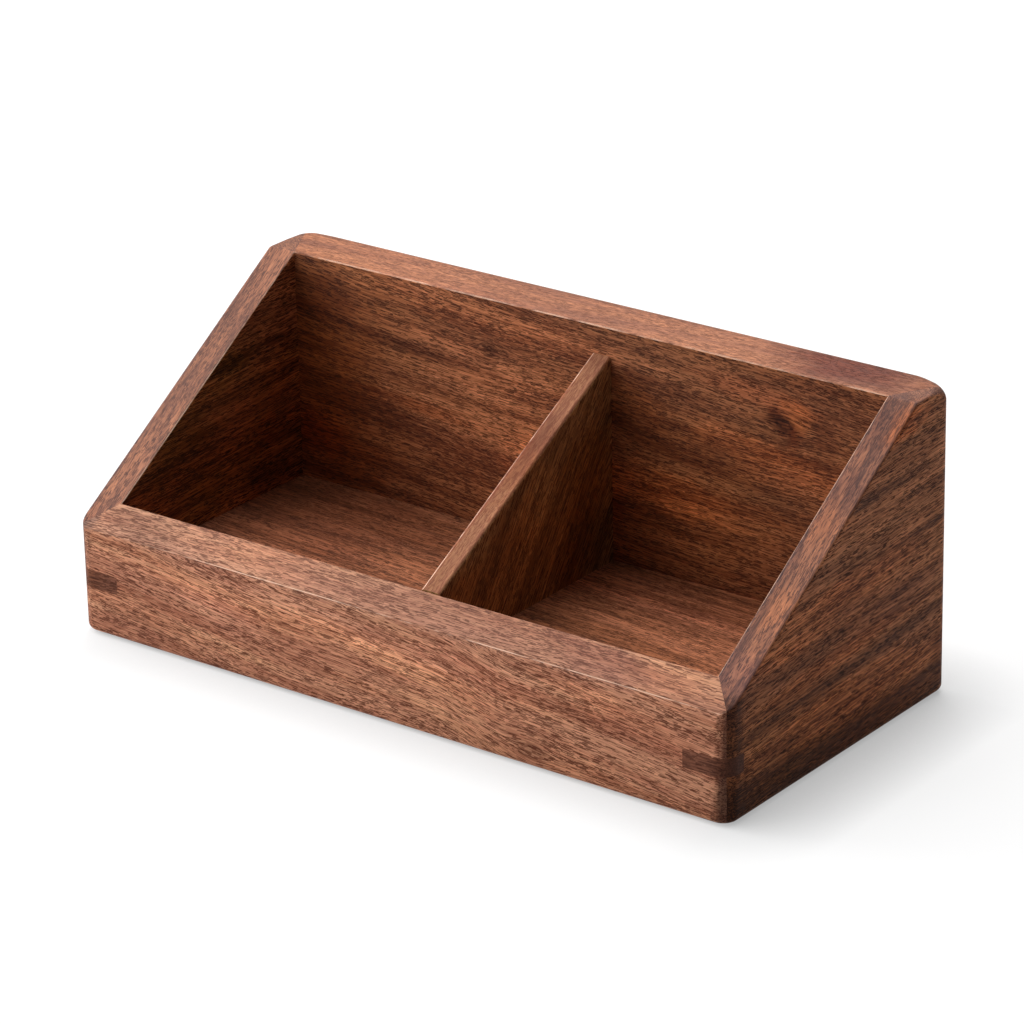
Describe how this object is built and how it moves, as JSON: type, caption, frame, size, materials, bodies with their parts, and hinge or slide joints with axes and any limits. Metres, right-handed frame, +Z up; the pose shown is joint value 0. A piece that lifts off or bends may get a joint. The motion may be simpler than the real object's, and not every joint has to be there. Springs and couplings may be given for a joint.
{
  "type": "desk organizer",
  "caption": "Open wooden desk organizer with mitred corners, a low front, sloping sides, a high back and an upright divider between its compartments.",
  "frame": {"origin": "on the desk, under the middle of the frame's footprint, at the underside of the felt pads", "axes": "+X to the right along the front, +Y from the open front to the high back, +Z up"},
  "size_m": [0.28, 0.133, 0.1128],
  "materials": {
    "front_wood": "oiled walnut, grain along the board",
    "back_wood": "oiled walnut, grain along the board",
    "side_wood": "oiled walnut, grain from front to back",
    "panel_wood": "oiled walnut, grain along the panel",
    "divider_wood": "oiled walnut, grain from front to back",
    "key_wood": "oiled, darker walnut",
    "spline_wood": "plain sawn",
    "felt": "dark brown felt"
  },
  "bodies": {
    "root": {"front_panel": "front_wood", "back_panel": "back_wood", "left_side": "side_wood", "right_side": "side_wood", "bottom_panel": "panel_wood", "divider": "divider_wood", "corner_key_left": "key_wood", "corner_key_right": "key_wood", "back_spline_left": "spline_wood", "back_spline_right": "spline_wood", "felt_pad_front_left": "felt", "felt_pad_front_right": "felt", "felt_pad_back_left": "felt", "felt_pad_back_right": "felt"}
  },
  "joints": []
}
